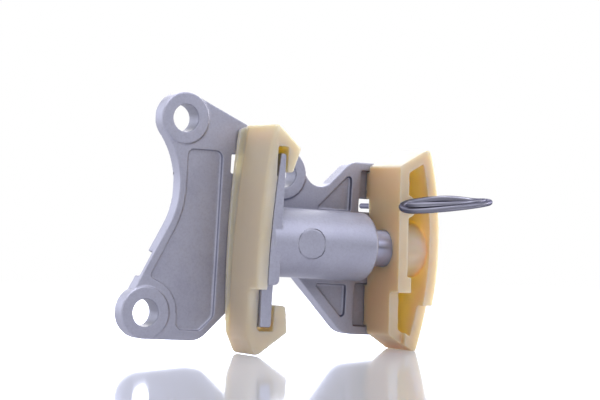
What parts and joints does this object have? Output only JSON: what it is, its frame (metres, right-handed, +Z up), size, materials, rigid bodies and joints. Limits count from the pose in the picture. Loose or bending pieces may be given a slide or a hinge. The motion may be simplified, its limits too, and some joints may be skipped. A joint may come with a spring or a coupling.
{
  "type": "timing chain tensioner",
  "caption": "Hydraulic timing chain tensioner: a die-cast bracket with bolt lugs and a barrel, a fixed guide shoe, a plunger-driven guide shoe and a ring-pull lock pin.",
  "frame": {"origin": "centre of the inner bolt hole on the mounting face", "axes": "+X along the plunger towards the moving shoe, -Y out of the mounting face towards the barrel, +Z up across both"},
  "size_m": [0.0807, 0.0473, 0.0614],
  "materials": {
    "cast_aluminium": "die cast and tumbled, fine grey grain",
    "shoe_nylon": "injection moulded, satin, slightly translucent",
    "ground_steel": "hardened and ground",
    "spring_steel": "drawn wire, oiled",
    "ball_steel": "polished",
    "pressed_steel": "pressed sheet, plain",
    "pin_wire": "dark drawn wire with fine lengthwise marks"
  },
  "bodies": {
    "bracket": {"housing": "cast_aluminium", "fixed_shoe": "shoe_nylon", "valve_seat": "ground_steel", "ball_cage": "pressed_steel", "plunger_spring": "spring_steel", "ball_spring": "spring_steel"},
    "plunger": {"plunger": "ground_steel", "moving_shoe": "shoe_nylon"},
    "ball": {"check_ball": "ball_steel"},
    "pin": {"lock_pin": "pin_wire"}
  },
  "joints": [
    {"name": "plunger_slide", "type": "slide", "parent": "bracket", "child": "plunger", "axis": [1, 0, 0], "range_m": [0, 0.008], "deforming": ["plunger_spring"]},
    {"name": "pin_pull", "type": "slide", "parent": "plunger", "child": "pin", "axis": [0, -1, 0], "range_m": [0, 0.048]},
    {"name": "ball_lift", "type": "slide", "parent": "bracket", "child": "ball", "axis": [1, 0, 0], "range_m": [0, 0.0006], "stiffness_N_per_m": 10, "deforming": ["ball_spring"]}
  ],
  "couplings": [
    {"joint": "pin_pull", "follows": "plunger_slide", "ratio": 6}
  ]
}
